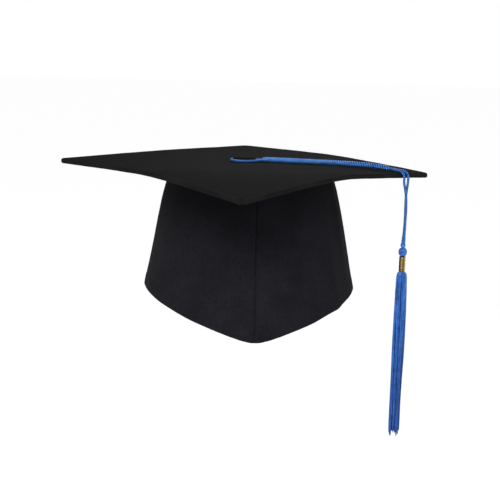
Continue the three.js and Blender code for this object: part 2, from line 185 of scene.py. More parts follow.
def rim_height(angle):
    quarter = math.pi / 2
    rounding = math.radians(5)
    front = -POINT * np.maximum(0, 1 - np.hypot(angle, rounding) / quarter) ** 1.7
    return np.where(np.abs(angle) > quarter, -BACK_DIP * np.cos(angle) ** 2, front)


def on_edge(along, out):
    """A place by the board's front right edge: along it towards the right corner, and out from it."""
    half = BOARD_SIDE / 2
    return np.array([along + half + out, along - half - out]) / SQRT2


def on_run(point):
    """A point of the cord on the board: distance from the button, sideways from that line, and height."""
    distance, sideways, height = point
    cos, sin = math.cos(RUN_ANGLE), math.sin(RUN_ANGLE)
    return np.array([distance * cos - sideways * sin, distance * sin + sideways * cos, height])


# ---- Materials ----


class Shader:
    """A material's node tree, with short calls for the nodes that the materials below share."""

    def __init__(self, name, roughness=0.8, **sockets):
        self.material = bpy.data.materials.new(name)
        self.material.use_nodes = True
        self.nodes = self.material.node_tree.nodes
        self.links = self.material.node_tree.links
        self.surface = self.nodes["Principled BSDF"]
        self.surface.inputs["Roughness"].default_value = roughness
        for socket, value in sockets.items():
            self.surface.inputs[socket.replace("_", " ")].default_value = value

    def link(self, output, node, socket):
        self.links.new(output, node.inputs[socket])

    def coordinates(self, kind="Object"):
        return self.nodes.new("ShaderNodeTexCoord").outputs[kind]

    def noise(self, coordinates, size_mm, detail=2.0, stretch=(1, 1, 1)):
        """Noise whose blotches are about that many millimetres across."""
        mapping = self.nodes.new("ShaderNodeMapping")
        mapping.inputs["Scale"].default_value = [1 / (size_mm * MM * factor) for factor in stretch]
        self.link(coordinates, mapping, "Vector")
        texture = self.nodes.new("ShaderNodeTexNoise")
        texture.inputs["Scale"].default_value = 1
        texture.inputs["Detail"].default_value = detail
        self.link(mapping.outputs["Vector"], texture, "Vector")
        return texture.outputs["Fac"]

    def maths(self, operation, first, second=0.0):
        node = self.nodes.new("ShaderNodeMath")
        node.operation = operation
        for index, value in enumerate((first, second)):
            if isinstance(value, (int, float)):
                node.inputs[index].default_value = value
            else:
                self.links.new(value, node.inputs[index])
        return node.outputs[0]

    def weighted(self, *parts):
        """The sum of outputs, each given with its weight."""
        scaled = [self.maths("MULTIPLY", output, weight) for output, weight in parts]
        total = scaled[0]
        for part in scaled[1:]:
            total = self.maths("ADD", total, part)
        return total

    def waves(self, coordinate, pitch):
        """A sine wave from 0 to 1 along a coordinate, one wave for each pitch."""
        phase = self.maths("MULTIPLY", coordinate, 2 * math.pi / pitch)
        return self.maths("MULTIPLY_ADD", self.maths("SINE", phase), 0.5)

    def ramp(self, factor, stops):
        """Colours by factor. Each stop is (place, colour)."""
        node = self.nodes.new("ShaderNodeValToRGB")
        elements = node.color_ramp.elements
        while len(elements) < len(stops):
            elements.new(0.5)
        for element, (place, colour) in zip(elements, stops):
            element.position = place
            element.color = (*colour, 1)
        self.link(factor, node, "Fac")
        return node.outputs["Color"]

    def shade(self, colour, factor, stops):
        """The colour times a ramp's."""
        node = self.nodes.new("ShaderNodeMix")
        node.data_type = "RGBA"
        node.blend_type = "MULTIPLY"
        node.inputs["Factor"].default_value = 1.0
        inputs = [socket for socket in node.inputs if socket.type == "RGBA"]
        for socket, value in zip(inputs, (colour, self.ramp(factor, stops))):
            self.links.new(value, socket)
        return next(socket for socket in node.outputs if socket.type == "RGBA")

    def span(self, factor, low, high):
        """A number that goes from low to high as factor goes from 0 to 1."""
        node = self.nodes.new("ShaderNodeMapRange")
        node.inputs["To Min"].default_value = low
        node.inputs["To Max"].default_value = high
        self.link(factor, node, "Value")
        return node.outputs["Result"]

    def bump(self, heights):
        """Bumps of several kinds, each (height from 0 to 1, depth in millimetres), one on the other."""
        normal = None
        for height, depth in heights:
            node = self.nodes.new("ShaderNodeBump")
            node.inputs["Distance"].default_value = depth * MM
            self.link(height, node, "Height")
            if normal is not None:
                self.link(normal, node, "Normal")
            normal = node.outputs["Normal"]
        self.link(normal, self.surface, "Normal")

    def finish(self, colour, roughness=None):
        self.link(colour, self.surface, "Base Color")
        if roughness is not None:
            self.link(roughness, self.surface, "Roughness")
        return self.material


def split_uv(shader):
    """The two coordinates of the piece's own map, in metres along the cloth."""
    split = shader.nodes.new("ShaderNodeSeparateXYZ")
    shader.link(shader.coordinates("UV"), split, "Vector")
    return split.outputs["X"], split.outputs["Y"]


def woven(name, dark, light, thread_mm=0.45, twill=True, edge_highlight_from=None):
    """A woven cloth: its weave, the fuzz on it, and the uneven shade of handled cloth.

    The last argument is for the board: a painted highlight along its rolled edges, where the map's |x| + |y| is
    past that many millimetres.
    """
    shader = Shader(name, Sheen_Weight=0.012, Sheen_Roughness=0.5, Specular_IOR_Level=0.03)
    across, along = split_uv(shader)
    pitch = thread_mm * MM
    if twill:
        weave = shader.waves(shader.maths("ADD", across, along), pitch * SQRT2)
    else:
        weave = shader.maths("MULTIPLY", shader.waves(across, pitch), shader.waves(along, pitch))
    place = shader.coordinates()
    fuzz = shader.noise(place, 0.5, detail=3)
    slub = shader.noise(place, 2.2)
    patches = shader.noise(place, 26.0, detail=3)
    tone = shader.weighted((patches, 0.45), (slub, 0.35), (weave, 0.2))
    shader.bump([(patches, 0.25), (slub, 0.1), (weave, 0.06), (fuzz, 0.06)])
    colour = shader.ramp(tone, [(0.3, dark), (0.7, light)])
    if edge_highlight_from is not None:
        reach = shader.maths("ADD", shader.maths("ABSOLUTE", across), shader.maths("ABSOLUTE", along))
        past = shader.maths("DIVIDE", shader.maths("SUBTRACT", reach, edge_highlight_from * MM), EDGE_HIGHLIGHT_WIDTH * MM)
        past = shader.maths("ADD", past, shader.maths("MULTIPLY", shader.maths("SUBTRACT", slub, 0.5), 1.2))
        # painted highlight: the rolled edge up to 2.3 times lighter, broken up by the slub
        colour = shader.shade(colour, past, [(0.0, (1, 1, 1)), (1.0, (2.3, 2.3, 2.3))])
    return shader.finish(colour, shader.span(patches, 0.8, 0.95))


def satin(name, dark, light):
    """A smooth lining cloth, with a soft shine."""
    shader = Shader(name, Sheen_Weight=0.25, Sheen_Roughness=0.3, Specular_IOR_Level=0.5)
    threads = shader.waves(split_uv(shader)[0], 0.3 * MM)
    place = shader.coordinates()
    creases = shader.noise(place, 9.0, detail=4)
    colour = shader.ramp(creases, [(0.35, dark), (0.65, light)])
    shader.bump([(creases, 0.3), (threads, 0.02)])
    return shader.finish(colour, shader.span(creases, 0.38, 0.6))


def ribbed(name, dark, light, rib_mm, depth, along_height):
    """A ribbon or elastic, with ribs across its length."""
    shader = Shader(name, Sheen_Weight=0.15, Specular_IOR_Level=0.35)
    across, along = split_uv(shader)
    ribs = shader.waves(along if along_height else across, rib_mm * MM)
    place = shader.coordinates()
    dust = shader.noise(place, 2.0, detail=3)
    colour = shader.ramp(shader.maths("MULTIPLY", ribs, dust), [(0.1, dark), (0.5, light)])
    shader.bump([(dust, 0.06), (ribs, depth)])
    return shader.finish(colour, shader.span(dust, 0.55, 0.8))


def rayon(
    name, dark, mid, light, thread_mm, lay=None, roughness=(0.26, 0.42), shine=0.35, streaks=0.14, painted_shade_length=None
):
    """Shiny dyed thread. Its map runs round the thread and along it, so each thread has its own tone.

    lay is a laid cord's (lobes, radius, lay), for painted shade in the grooves between its lobes and a painted
    highlight on their crests. The smaller streaks is, the harder the change from one thread's tone to the next's.
    The last argument is the length in metres over which it goes from a painted sheen by the top to painted
    self-shadow further down.
    """
    shader = Shader(name, Sheen_Weight=0.03, Sheen_Roughness=0.35, Specular_IOR_Level=shine, Anisotropic=0.5)
    across, along = split_uv(shader)
    fibres = shader.waves(shader.maths("ADD", across, shader.maths("MULTIPLY", along, 0.6)), 0.4 * MM)
    place = shader.coordinates()
    threads = shader.noise(shader.coordinates("UV"), thread_mm, detail=1, stretch=(1, 12, 1))
    dye = shader.noise(place, 5.0, detail=3)
    fine = shader.noise(place, 0.5, detail=2, stretch=(1, 1, 6))
    tone = shader.weighted((threads, 0.5), (dye, 0.2), (fine, 0.15), (fibres, 0.15))
    shader.bump([(fine, 0.05), (fibres, 0.05)])
    colour = shader.ramp(tone, [(0.5 - streaks, dark), (0.5, mid), (0.5 + streaks, light)])
    if lay is not None:
        lobes, radius, length = lay
        round_cord = shader.maths("MULTIPLY", across, lobes / (2 * math.pi * radius * MM))
        turned = shader.maths("SUBTRACT", round_cord, shader.maths("MULTIPLY", along, lobes / (length * MM)))
        lobe = shader.waves(shader.maths("ADD", turned, 0.25), 1.0)
        # painted shade in the grooves and a painted highlight on the lobes' crests
        colour = shader.shade(colour, lobe, [(0.35, (0.02, 0.03, 0.07)), (0.8, (1.8, 1.7, 1.5))])
    # painted sheen near the band, where the threads lie packed, going to painted self-shadow further down
    if painted_shade_length is not None:
        fall = shader.maths("DIVIDE", along, painted_shade_length)
        colour = shader.shade(colour, fall, [(0.0, (1.4, 1.3, 1.15)), (1.0, (0.6, 0.66, 0.74))])
    return shader.finish(colour, shader.span(dye, *roughness))


def sheet_metal(name, dark, light, roughness, scratch_mm=0.3):
    """Rolled sheet metal: fine scratches along the rolling, and streaks of tarnish and painted reflection bands.
    """
    shader = Shader(name, Metallic=1.0, Anisotropic=0.4)
    place = shader.coordinates()
    scratches = shader.noise(place, scratch_mm, detail=2, stretch=(1, 1, 14))
    # partly tarnish, partly painted reflection bands: upright dark and pale streaks in the colour
    tarnish_and_reflection_bands = shader.noise(place, 2.6, detail=2, stretch=(1, 1, 9))
    shader.bump([(scratches, 0.006)])
    colour = shader.ramp(tarnish_and_reflection_bands, [(0.38, dark), (0.62, light)])
    return shader.finish(colour, shader.span(scratches, *roughness))


def matted(name, dark, light, fleck_mm, detail, depth, roughness, **sockets):
    """Matted fibres, as in card and in felt."""
    shader = Shader(name, Specular_IOR_Level=0.2, **sockets)
    flecks = shader.noise(shader.coordinates(), fleck_mm, detail)
    shader.bump([(flecks, depth)])
    colour = shader.ramp(flecks, [(0.3, dark), (0.7, light)])
    return shader.finish(colour, shader.span(flecks, *roughness))


def make_materials():
    # where the painted highlight along the board's rolled edge begins
    edge_highlight_from = HALF_DIAGONAL - 2 * EDGE_HIGHLIGHT_WIDTH
    black = {"dark": (0.002, 0.0019, 0.0019), "light": (0.0056, 0.0054, 0.0053)}
    blue = {"dark": (0.004, 0.04, 0.2), "mid": (0.015, 0.11, 0.42), "light": (0.05, 0.22, 0.68)}
    bright = {"dark": (0.01, 0.075, 0.33), "mid": (0.035, 0.165, 0.56), "light": (0.09, 0.3, 0.8)}
    deep = {"dark": (0.002, 0.022, 0.13), "mid": (0.009, 0.075, 0.34), "light": (0.035, 0.17, 0.58)}
    card = ((0.24, 0.18, 0.11), (0.36, 0.29, 0.2), 0.8, 4, 0.05, (0.8, 0.95))
    felt = ((0.48, 0.46, 0.42), (0.66, 0.64, 0.6), 0.6, 5, 0.12, (0.85, 0.98))
    charcoal = {"dark": (0.0054, 0.0053, 0.0068), "light": (0.013, 0.0127, 0.0165)}
    return {
        "board": woven("board_cloth", **black, twill=False, thread_mm=0.5, edge_highlight_from=edge_highlight_from),
        "cap": woven("cap_cloth", **charcoal),
        "lining": satin("lining_satin", (0.007, 0.007, 0.008), (0.016, 0.016, 0.018)),
        "headband": ribbed("headband_ribbon", (0.006, 0.006, 0.007), (0.02, 0.02, 0.022), 0.9, 0.15, False),
        "elastic": ribbed("elastic_web", (0.01, 0.01, 0.01), (0.035, 0.035, 0.035), 1.4, 0.3, True),
        "label": satin("label_satin", (0.55, 0.53, 0.48), (0.68, 0.66, 0.6)),
        "thread": woven("stitch_thread", (0.01, 0.01, 0.011), (0.028, 0.028, 0.03), thread_mm=0.3),
        "bead": rayon("bead_rayon", **blue, thread_mm=1.2, roughness=(0.22, 0.34), shine=0.35),
        "strand": rayon("strand_rayon", **blue, thread_mm=2.5, lay=(3, STRAND_RADIUS, STRAND_LAY)),
        "twisted": rayon("twisted_rayon", **bright, thread_mm=2.5, lay=(2, TWISTED_RADIUS, TWISTED_LAY)),
        "fringe": rayon("fringe_rayon", **deep, thread_mm=3.0, shine=0.35, streaks=0.07, painted_shade_length=0.12),
        "brass": sheet_metal("ferrule_brass", (0.2, 0.12, 0.035), (0.74, 0.58, 0.3), (0.2, 0.3)),
        "steel": sheet_metal("button_steel", (0.42, 0.42, 0.43), (0.56, 0.56, 0.57), (0.25, 0.4)),
        "card": matted("board_card", *card),
        "felt": matted("interlining_felt", *felt, Sheen_Weight=0.2),
    }


# ---- Mesh making ----


def make_piece(name, points, faces, material, body=None, offset=0, uv=None, slot=None):
    """A smooth-shaded mesh from points in millimetres. uv is in metres, one pair for each point."""
    mesh = bpy.data.meshes.new(name)
    places = (points.reshape(-1, 3) + offset) * MM
    mesh.from_pydata(places.tolist(), [], [list(map(int, face)) for face in faces])
    mesh.polygons.foreach_set("use_smooth", [True] * len(mesh.polygons))
    if uv is not None:
        corners = np.empty(len(mesh.loops), dtype=int)
        mesh.loops.foreach_get("vertex_index", corners)
        layer = mesh.uv_layers.new(name="cloth")
        layer.data.foreach_set("uv", uv.reshape(-1, 2)[corners].ravel())
    mesh.materials.append(material)
    mesh.validate()
    piece = bpy.data.objects.new(name, mesh)
    bpy.context.scene.collection.objects.link(piece)
    if body is not None:
        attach(piece, body)
    return piece


def pair(first, second):
    """Two numbers for each point of a grid, such as a map's two coordinates."""
    return np.stack(np.broadcast_arrays(first, second), axis=-1)


def grid_faces(rows, columns, wraps, start=0, flip=False):
    """The quads of a grid of points. With wraps, its last column joins its first."""
    steps = columns if wraps else columns - 1
    row, column = np.divmod(np.arange((rows - 1) * steps), steps)
    after = (column + 1) % columns
    here, below = row * columns, (row + 1) * columns
    quads = np.stack([here + column, here + after, below + after, below + column], axis=1)
    return start + (quads[:, ::-1] if flip else quads)


def shell_faces(rows, columns, wraps):
    """The quads of a closed sheet: its front grid, then its back grid, joined round their borders."""
    count = rows * columns
    faces = [grid_faces(rows, columns, wraps), grid_faces(rows, columns, wraps, start=count, flip=True)]
    column = np.arange(columns if wraps else columns - 1)
    after = (column + 1) % columns
    last = (rows - 1) * columns
    borders = [(after, column), (last + column, last + after)]
    if not wraps:
        first = np.arange(rows - 1) * columns
        end = first + columns - 1
        borders += [(first, first + columns), (end + columns, end)]
    for one, other in borders:
        faces.append(np.stack([one, other, other + count, one + count], axis=1))
    return np.concatenate(faces)


def make_sheet(name, node, front, back, uv, material, wraps=False, offset=0):
    """A closed sheet of cloth between two grids of points, in place of a CAD node."""
    points = np.concatenate([front.reshape(-1, 3), back.reshape(-1, 3)])
    faces = shell_faces(*front.shape[:2], wraps)
    piece = make_piece(name, points, faces, material, "cap", offset, np.concatenate([uv, uv]), slots[node])
    face_outwards(piece)
    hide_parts(node)
    return piece


def face_outwards(piece):
    """Turns a closed mesh's faces outwards, by the sign of the volume that it holds."""
    mesh = piece.data
    mesh.calc_loop_triangles()
    corners = np.empty(len(mesh.loop_triangles) * 3, dtype=int)
    mesh.loop_triangles.foreach_get("vertices", corners)
    points = np.empty(len(mesh.vertices) * 3)
    mesh.vertices.foreach_get("co", points)
    a, b, c = points.reshape(-1, 3)[corners.reshape(-1, 3)].transpose(1, 0, 2)
    if np.einsum("ij,ij->i", a, np.cross(b, c)).sum() < 0:
        mesh.flip_normals()


def border_fold(distances, thickness):
    """How much of a sheet's thickness is left near its border, so that the border is round."""
    inside = np.clip(distances / (thickness / 2), 0, 1)
    return np.sqrt(np.maximum(0.02, 1 - (1 - inside) ** 2))


def spread(count, crowding=0.5):
    """Numbers from 0 to 1 that lie closer together near both ends."""
    even = np.linspace(0, 1, count)
    return (1 - crowding) * even + crowding * (1 - np.cos(math.pi * even)) / 2


def soft_noise(points, size, seed=0.0):
    """Smooth noise from -1 to 1 at points in millimetres, with blotches of that size."""
    shift = Vector((seed, seed * 1.7, seed * 2.3))
    flat = points.reshape(-1, 3)
    values = [noise.noise(Vector(point) / size + shift) for point in flat]
    return np.array(values).reshape(points.shape[:-1])


def circle(count):
    return np.linspace(0, 2 * math.pi, count, endpoint=False)


def rings_along(path, angles):
    """Directions square to the path, at those angles round each of its points."""
    across, up = path_frames(path)
    return across[:, None, :] * np.cos(angles)[:, None] + up[:, None, :] * np.sin(angles)[:, None]


def tube(path, radius, sides):
    """The points of a round tube along a path, and its map. radius is one number or one for each point."""
    path = np.asarray(path, dtype=float)
    reach = np.broadcast_to(np.asarray(radius, dtype=float), (len(path),))[:, None, None]
    points = path[:, None, :] + rings_along(path, circle(sides)) * reach
    uv = pair(circle(sides) * np.max(radius) * MM, path_lengths(path)[:, None] * MM)
    return points, uv


def bundle(threads, sides):
    """The points, faces and maps of many tubes of the same size. Each thread is (path, radius)."""
    tubes = [tube(path, radius, sides) for path, radius in threads]
    rings = len(threads[0][0])
    faces = [face for index in range(len(tubes)) for face in tube_faces(rings, sides, index * rings * sides)]
    points, maps = zip(*tubes)
    return np.stack(points), faces, np.stack(maps)


def path_frames(path):
    """Two directions square to the path at each of its points, which don't twist along it."""
    along = np.gradient(path, axis=0)
    along /= np.linalg.norm(along, axis=1)[:, None]
    start = np.array([0, 0, 1.0]) if abs(along[0][2]) < 0.9 else np.array([1.0, 0, 0])
    across = np.empty_like(path)
    across[0] = np.cross(along[0], start)
    across[0] /= np.linalg.norm(across[0])
    for index in range(1, len(path)):
        moved = across[index - 1] - along[index] * (across[index - 1] @ along[index])
        across[index] = moved / np.linalg.norm(moved)
    return across, np.cross(along, across)


def tube_faces(rings, sides, start=0):
    """The faces of a tube's wall and of its two flat ends."""
    wall = grid_faces(rings, sides, wraps=True, start=start)
    first = start + np.arange(sides)
    last = start + (rings - 1) * sides + np.arange(sides)
    return [*wall, first[::-1], last]


def path_lengths(path):
    return np.concatenate([[0], np.cumsum(np.linalg.norm(np.diff(path, axis=0), axis=1))])


def smooth_curve(points, per_span=12):
    """A centripetal Catmull-Rom curve through the points, as the CAD draws its cords."""
    points = np.asarray(points, dtype=float)
    points = np.vstack([2 * points[0] - points[1], points, 2 * points[-1] - points[-2]])
    curve = []
    for p0, p1, p2, p3 in zip(points, points[1:], points[2:], points[3:]):
        steps = [math.sqrt(np.linalg.norm(b - a)) for a, b in ((p0, p1), (p1, p2), (p2, p3))]
        t0, t1, t2, t3 = np.concatenate([[0], np.cumsum(steps)])
        t = np.linspace(t1, t2, per_span, endpoint=False)[:, None]
        a1 = (t1 - t) / (t1 - t0) * p0 + (t - t0) / (t1 - t0) * p1
        a2 = (t2 - t) / (t2 - t1) * p1 + (t - t1) / (t2 - t1) * p2
        a3 = (t3 - t) / (t3 - t2) * p2 + (t - t2) / (t3 - t2) * p3
        b1 = (t2 - t) / (t2 - t0) * a1 + (t - t0) / (t2 - t0) * a2
        b2 = (t3 - t) / (t3 - t1) * a2 + (t - t1) / (t3 - t1) * a3
        curve.append((t2 - t) / (t2 - t1) * b1 + (t - t1) / (t2 - t1) * b2)
    return np.vstack([*curve, points[-2:-1]])


def even_steps(path, spacing):
    """The same path with points that far apart."""
    lengths = path_lengths(path)
    places = np.linspace(0, lengths[-1], round(lengths[-1] / spacing) + 1)
    return np.stack([np.interp(places, lengths, path[:, axis]) for axis in range(3)], axis=1)


def eased(path, reach):
    """The path with its kinks smoothed over that many points each way. Its ends stay."""
    kernel = np.hanning(2 * reach + 3)[1:-1]
    kernel /= kernel.sum()
    padded = np.vstack([np.repeat(path[:1], reach, 0), path, np.repeat(path[-1:], reach, 0)])
    smooth = np.stack([np.convolve(padded[:, axis], kernel, "valid") for axis in range(3)], axis=1)
    smooth[0], smooth[-1] = path[0], path[-1]
    return smooth


# ---- The tassel's cord ----

LOOP_RADIUS = 12.4
LOOP_HEIGHT = 117.2
LOOP_END_HEIGHT = 118.0
LOOP_BEND = 5  # the radius with which the loop's ends turn into the twisted cord
LOOP_HALF_GAP = 1.35
EDGE_BEND = 6.2  # the radius of the strands' bend over the board's edge
EDGE_LIFT = 2.3  # how far above the cloth their middle lines are there
FORK_SPREAD = 2.9  # half the distance between them
# Points of the run are (distance from the button, sideways, height).
FORK_START = (136.8, 1.45, 115.2)
TWISTED_ROUTE = [
    [16.9, 0, 118.4],
    [45, 0, 118.4],
    [75, 0, 118.4],
    [105, 0, 118.4],
    [118, 0, 118.3],
    [124, 0, 117.7],
    [130, 0, 116.5],
    [135.6, 0, 115.4],
]
# From the edge down to the bead: along and out from the middle of the two, and height. The strands are wound
# closer round each other here than the CAD's, and hanging_strand bows them a little to the right.
DROP_ROUTE = [
    [-FORK_SPREAD, 0.0, 103.6],
    [-2.6, 0.4, 100.0],
    [-1.8, 0.9, 94.0],
    [-1.0, 1.0, 88.5],
    [-0.9, 1.1, 80.0],
    [-0.95, 1.05, 72.0],
    [-0.95, 1.05, 64.0],
    [-0.9, 1.1, 56.0],
    [-0.5, 1.3, 48.0],
    [-0.4, 0.8, 45.5],
]
HIDDEN_END = 2.5  # how far a strand's end reaches into the twisted cord
TWISTED_LAY = 4.35  # the length in which the two strands turn once round each other
STRAND_LAY = 5.4  # the length in which a strand's three plies turn once
STRAND_BOW = 0.6
EDGE_BLEND = (0.1065, 0.1025)  # heights in metres of two points by the edge, which make_cord works out but doesn't use
SINK = 0.5  # the share of the CAD run's clearance over the drooping cloth that the real cord takes up


def cloth_height(x, y):
    return BOARD_TOP - board_droop(x, y)


def resting(point):
    """A point of the run, let down towards the cloth, which the CAD's run clears as it turns."""
    x, y, height = point
    flat_clearance = TWISTED_ROUTE[0][2] - BOARD_TOP
    spare = height - cloth_height(x, y) - flat_clearance
    return np.array([x, y, height - SINK * max(0, spare)])


def fork_strand(side):
    """The strand from the twisted cord over the edge. side is -1 for the front strand and 1 for the back."""
    cos, sin = math.cos(RUN_ANGLE), math.sin(RUN_ANGLE)
    x, y = on_edge(HANG_ALONG + side * FORK_SPREAD, HANG_OUT)
    landing = (x * cos + y * sin, -x * sin + y * cos)
    bend_start = landing[0] - EDGE_BEND
    x, y, _ = on_run([bend_start, landing[1], 0])
    high = cloth_height(x, y) + EDGE_LIFT
    start_distance, start_sideways, start_height = FORK_START
    hidden = resting(on_run([start_distance - HIDDEN_END, side * STRAND_RADIUS * 0.8, start_height + 0.4]))
    start = resting(on_run([start_distance, side * start_sideways, start_height]))
    halfway = [
        (start_distance + bend_start) / 2,
        side * start_sideways * 0.4 + landing[1] * 0.6,
        (start[2] + high) / 2,
    ]
    points = [hidden, start, on_run(halfway)]
    for angle in np.linspace(0, math.pi / 2, 5):
        distance = bend_start + EDGE_BEND * math.sin(angle)
        points.append(on_run([distance, landing[1], high - EDGE_BEND * (1 - math.cos(angle))]))
    return points


def hanging_strand(side):
    """The strand from the edge down into the knot. side is 1 for the front strand and -1 for the back."""
    points = []
    high, low = DROP_ROUTE[0][2], DROP_ROUTE[-1][2]
    for along, out, height in DROP_ROUTE:
        bow = STRAND_BOW * math.sin(math.pi * (high - height) / (high - low))
        x, y = on_edge(HANG_ALONG + side * along + bow, HANG_OUT + side * out + bow)
        points.append(np.array([x, y, height]))
    return points


def loop_end(side):
    """One end of the loop, from inside the twisted cord to where it touches the loop's circle."""
    centre_out = LOOP_HALF_GAP + LOOP_BEND
    centre_along = math.sqrt((LOOP_RADIUS + LOOP_BEND) ** 2 - centre_out**2)
    sweep = math.atan2(centre_along, centre_out)
    start, _, height = TWISTED_ROUTE[0]
    points = [[start + HIDDEN_END, side * STRAND_RADIUS, height]]
    for share in np.linspace(0, 1, 5):
        distance = centre_along - LOOP_BEND * math.sin(share * sweep)
        sideways = side * (centre_out - LOOP_BEND * math.cos(share * sweep))
        points.append([distance, sideways, LOOP_END_HEIGHT + (LOOP_HEIGHT - LOOP_END_HEIGHT) * share])
    return points


def button_loop():
    """The strand round the button, from the front of the run to the back of it."""
    front, back = loop_end(-1), loop_end(1)[::-1]
    opening = math.atan2(back[0][1], back[0][0])
    around = []
    for share in np.linspace(0, 1, 15)[1:-1]:
        angle = -(opening + (2 * math.pi - 2 * opening) * share)
        around.append([LOOP_RADIUS * math.cos(angle), LOOP_RADIUS * math.sin(angle), LOOP_HEIGHT])
    return [on_run(point) for point in [*front, *around, *back]]


def twisted_run():
    """The line of the twisted cord, from the button to where its strands part."""
    curve = smooth_curve(TWISTED_ROUTE)
    points = [resting(on_run([distance, 0, height])) for distance, _, height in curve]
    return np.array(points)


def laid_cord(name, route, radius, lobes, depth, lay, step, material):
    """A cord of lobes laid up round each other along a route, with rounded ends."""
    angles = circle(12 * lobes)
    path = eased(even_steps(np.asarray(route), step), reach=max(1, round(1.5 / step)))
    lengths = path_lengths(path)
    turned = angles - 2 * math.pi * lengths[:, None] / lay
    outline = radius - depth * (1 - np.abs(np.cos(lobes / 2 * turned)) ** 0.7)
    from_end = np.minimum(lengths, lengths[-1] - lengths)
    outline = outline * border_fold(from_end, 2 * radius)[:, None]
    points = path[:, None, :] + rings_along(path, angles) * outline[:, :, None]
    uv = pair(angles * radius * MM, lengths[:, None] * MM)
    faces = tube_faces(len(path), len(angles))
    cord = make_piece(name, points, faces, material, offset=OFF_CENTRE, uv=uv, slot="cord")
    face_outwards(cord)
    return cord, (path + OFF_CENTRE) * MM


def make_cord(materials):
    """One cord: looped round the button, its halves twisted together, then parted to hang over the edge."""
    pair_of_strands = {"radius": TWISTED_RADIUS, "lobes": 2, "depth": 0.9, "lay": TWISTED_LAY, "step": 0.2}
    pair_of_strands["material"] = materials["twisted"]
    strand = {"radius": STRAND_RADIUS, "lobes": 3, "depth": 0.3, "lay": STRAND_LAY, "step": 0.3}
    strand["material"] = materials["strand"]
    on_board = (
        ("twisted_cord", "twisted", twisted_run(), pair_of_strands),
        ("loop_strand", "loop", smooth_curve(button_loop()), strand),
    )
    for name, length, route, look in on_board:
        piece, path = laid_cord(name, route, **look)
        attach(piece, "tassel_run")
        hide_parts(f"cord_{length}")

    bend_high, bend_low = [(*(swing_point[:2] * MM), height) for height in EDGE_BLEND]
    for side, name in ((-1, "front"), (1, "back")):
        route = smooth_curve(fork_strand(side) + hanging_strand(-side))
        piece, path = laid_cord(f"hanging_strand_{name}", route, **strand)
        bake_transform(piece)
        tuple(bend_high)
        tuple(bend_low)
        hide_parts(f"cord_fork_{name}", f"cord_drop_{name}")


# ---- The tassel's head and fringe ----


def turned_piece(name, node, profile, columns, relief, material, centre, body, pattern=1.0):
    """A closed ring of material turned about an upright line. profile goes round the ring's section."""
    profile = np.asarray(profile, dtype=float)
    angles = circle(columns)
    base, height = profile[:, :1], profile[:, 1:]
    radius = base + relief(angles[None, :], base, height)
    x, y = centre[0] + radius * np.cos(angles), centre[1] + radius * np.sin(angles)
    points = np.stack([x, y, np.broadcast_to(height, radius.shape)], axis=-1)
    faces = [*grid_faces(len(profile), columns, wraps=True), *grid_closing(len(profile), columns)]
    uv = pair(angles * pattern * MM, path_lengths(profile)[:, None] * MM)
    piece = make_piece(name, points, faces, material, body, OFF_CENTRE, uv, slots[node])
    face_outwards(piece)
    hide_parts(node)
    return piece


def grid_closing(rows, columns):
    """The quads that join a grid's last row to its first."""
    column = np.arange(columns)
    after = (column + 1) % columns
    last = (rows - 1) * columns
    return np.stack([last + column, last + after, after, column], axis=1)


def make_collar(materials):
    """The small wound knot above the main bead."""
    turns, thread, sides = 4, 0.5, 10
    angle = np.linspace(0, 2 * math.pi * turns, 36 * turns)
    height = np.linspace(COLLAR_HIGH - thread, COLLAR_LOW + thread * 0.6, len(angle))
    middle = (COLLAR_HIGH + COLLAR_LOW) / 2
    bulge = 1.35 + 0.55 * np.cos((height - middle) / (COLLAR_HIGH - COLLAR_LOW) * math.pi)
    path = np.stack([TASSEL[0] + bulge * np.cos(angle), TASSEL[1] + bulge * np.sin(angle), height], axis=1)
    points, uv = tube(path, thread, sides)
    faces = tube_faces(len(path), sides)
    material = materials["bead"]
    collar = make_piece("collar_winding", points, faces, material, "tassel_head", OFF_CENTRE, uv, "cord")
    face_outwards(collar)
    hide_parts("cord_collar")


def make_bead(materials):
    """The main bead, wound with thread from top to bottom."""
    half = (KNOT_HIGH - KNOT_LOW) / 2
    middle = KNOT_LOW + half
    radius = 3.9
    hole = 0.6
    turn = np.linspace(-0.5, 0.5, 33) * math.pi
    outer = [(hole + (radius - hole) * math.cos(t) ** 0.8, middle + half * math.sin(t)) for t in turn]
    inner = [(hole, middle + half * 0.9), (hole, middle - half * 0.9)]
    threads = 26
    lean = 0.55  # how far round the bead a thread gets on its way down, in radians

    def winding(angle, base, height):
        slant = angle + lean * (height - middle) / half
        grooves = np.abs(np.sin(threads / 2 * slant))
        return np.where(base > hole + 0.2, 0.16 * (grooves**0.6 - 1), 0)

    profile = outer + inner
    place = {"centre": TASSEL, "body": "tassel_head", "pattern": radius}
    turned_piece("bead_winding", "tassel_knot", profile, 368, winding, materials["bead"], **place)


